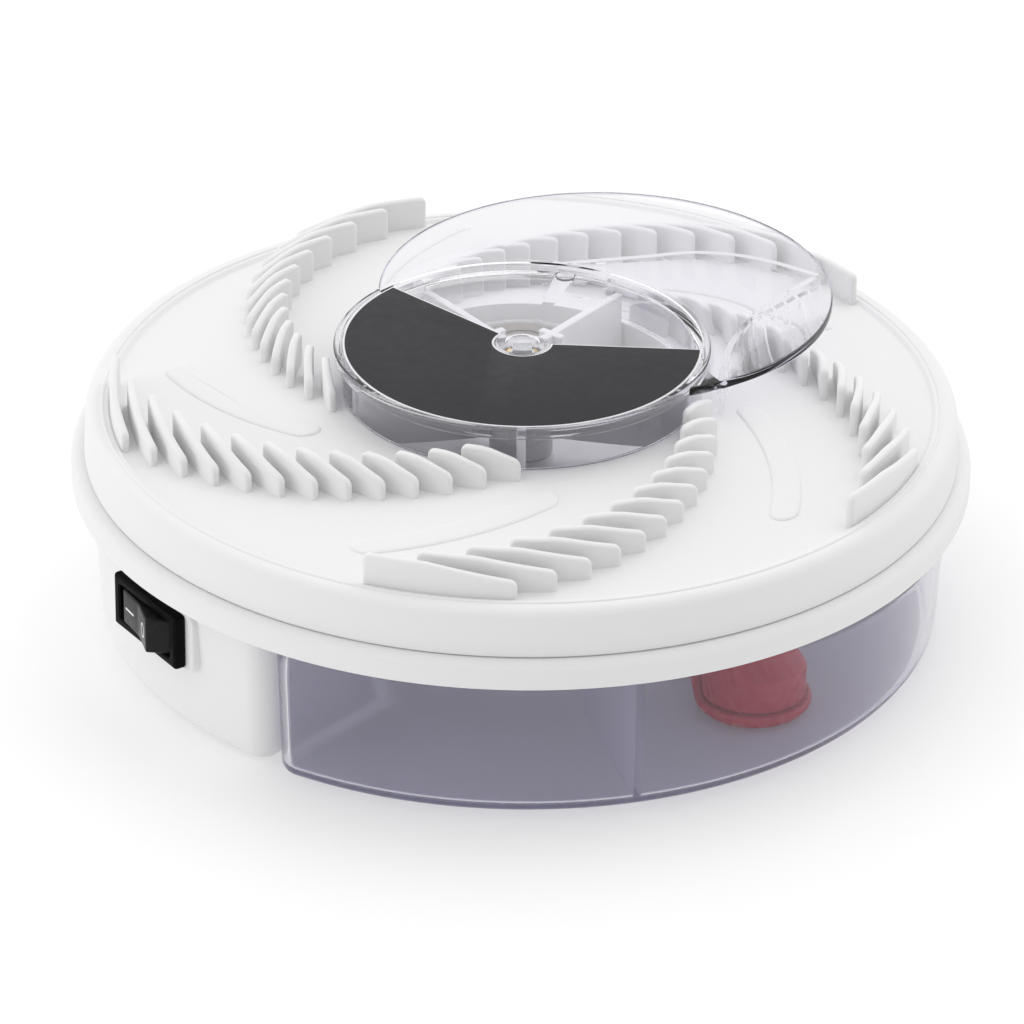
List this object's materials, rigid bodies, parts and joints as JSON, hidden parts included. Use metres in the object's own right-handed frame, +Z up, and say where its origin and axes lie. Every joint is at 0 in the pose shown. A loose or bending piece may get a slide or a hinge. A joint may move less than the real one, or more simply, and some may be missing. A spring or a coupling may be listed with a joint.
{
  "type": "electric rotating fly trap",
  "caption": "Round table-top insect trap: a finned white turntable under a clear drum cover with a visor, a motor housing with a rocker switch, and a clear drawer with a red bait pot.",
  "frame": {"origin": "on the supporting surface, under the centre of the round flange", "axes": "+Z up along the turntable axis; -Y is the side the reference view looks at; the drawer pulls out 40 degrees clockwise from +X"},
  "size_m": [0.2, 0.2, 0.0651],
  "materials": {
    "white_plastic": "satin moulded ABS",
    "clear_plastic": "clear polished styrene",
    "smoke_plastic": "smoke-tinted clear styrene",
    "black_film": "satin adhesive film",
    "black_plastic": "semi-gloss nylon",
    "red_plastic": "gloss moulded polyethylene",
    "steel": "zinc plated",
    "motor_metal": "plated sheet",
    "brass": "machined",
    "acetal": "natural acetal",
    "rubber": "matte",
    "board_green": "solder mask",
    "wire_red": "insulation",
    "wire_black": "insulation"
  },
  "bodies": {
    "base": {"base_deck": "white_plastic", "base_housing": "white_plastic", "foot_1": "rubber", "foot_2": "rubber", "foot_3": "rubber", "deck_screw_1": "steel", "deck_screw_2": "steel", "deck_screw_3": "steel", "deck_screw_4": "steel", "spindle": "steel", "gearbox_case": "motor_metal", "motor_can": "motor_metal", "motor_screw_1": "steel", "motor_screw_2": "steel", "switch_body": "black_plastic", "rocker_pin": "steel", "switch_terminal_1": "brass", "switch_terminal_2": "brass", "dc_jack": "black_plastic", "dc_jack_pin": "brass", "circuit_board": "board_green", "board_screw_1": "steel", "board_screw_2": "steel", "board_capacitor": "black_plastic", "board_chip": "black_plastic", "wire_supply": "wire_red", "wire_motor": "wire_black", "wire_switch": "wire_red"},
    "turntable": {"turntable": "white_plastic", "vane_rotor": "white_plastic", "hub_bush": "brass", "drive_gear": "acetal", "gear_screw_1": "steel", "gear_screw_2": "steel", "gear_screw_3": "steel"},
    "pinion": {"pinion": "acetal", "gearmotor_shaft": "steel"},
    "cover": {"clear_cover": "clear_plastic", "window_film": "black_film"},
    "drawer": {"drawer_tray": "smoke_plastic"},
    "rocker": {"switch_rocker": "black_plastic"},
    "bait_pot": {"bait_cup": "red_plastic"},
    "bait_lid": {"bait_lid": "red_plastic"}
  },
  "joints": [
    {"name": "turntable_spin", "type": "hinge", "parent": "base", "child": "turntable", "pos_m": [0, 0, 0.05], "axis": [0, 0, 1], "continuous": true},
    {"name": "pinion_spin", "type": "hinge", "parent": "base", "child": "pinion", "pos_m": [-0.04309, 0.03616, 0.044], "axis": [0, 0, 1], "continuous": true},
    {"name": "cover_lift", "type": "slide", "parent": "base", "child": "cover", "axis": [0, 0, 1], "range_m": [0, 0.03]},
    {"name": "drawer_slide", "type": "slide", "parent": "base", "child": "drawer", "axis": [0.766, -0.6428, 0], "range_m": [0, 0.09]},
    {"name": "rocker_tilt", "type": "hinge", "parent": "base", "child": "rocker", "pos_m": [-0.07753, -0.05368, 0.025], "axis": [0, 0, 1], "range_deg": [0, 24]},
    {"name": "pot_lift", "type": "slide", "parent": "drawer", "child": "bait_pot", "axis": [0, 0, 1], "range_m": [0, 0.009]},
    {"name": "lid_lift", "type": "slide", "parent": "bait_pot", "child": "bait_lid", "axis": [0, 0, 1], "range_m": [0, 0.009]}
  ],
  "couplings": [
    {"joint": "pinion_spin", "follows": "turntable_spin", "ratio": -4}
  ]
}
